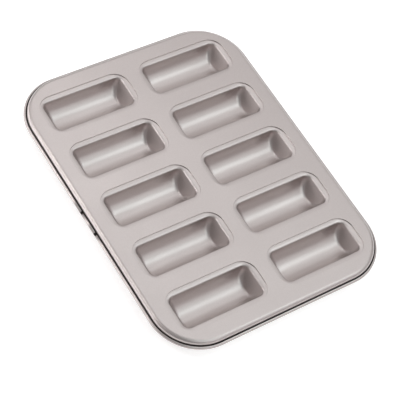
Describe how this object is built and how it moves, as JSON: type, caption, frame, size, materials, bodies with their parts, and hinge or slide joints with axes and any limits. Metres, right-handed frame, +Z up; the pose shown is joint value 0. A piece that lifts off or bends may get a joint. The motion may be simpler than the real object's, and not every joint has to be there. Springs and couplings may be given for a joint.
{
  "type": "financier mould",
  "caption": "Flat baking pan with rounded corners, oblong half-round cups sunk in its deck and a rolled, wired rim; bakes small finger-shaped cakes.",
  "frame": {"origin": "Centre of the pan in plan, on the surface that the flats under its cups stand on.", "axes": "+X along the pan's long side, across the rows of cups. +Y along the cups. +Z up, out of the cups' mouths. The hanging notches are on the -Y side."},
  "size_m": [0.3166, 0.243, 0.0194],
  "materials": {
    "coated_steel": "satin champagne-grey non-stick coat with a fine metallic grain",
    "wire_steel": "dark drawn steel wire"
  },
  "bodies": {
    "root": {"pan_pressing": "coated_steel", "rim_wire": "wire_steel"}
  },
  "joints": []
}
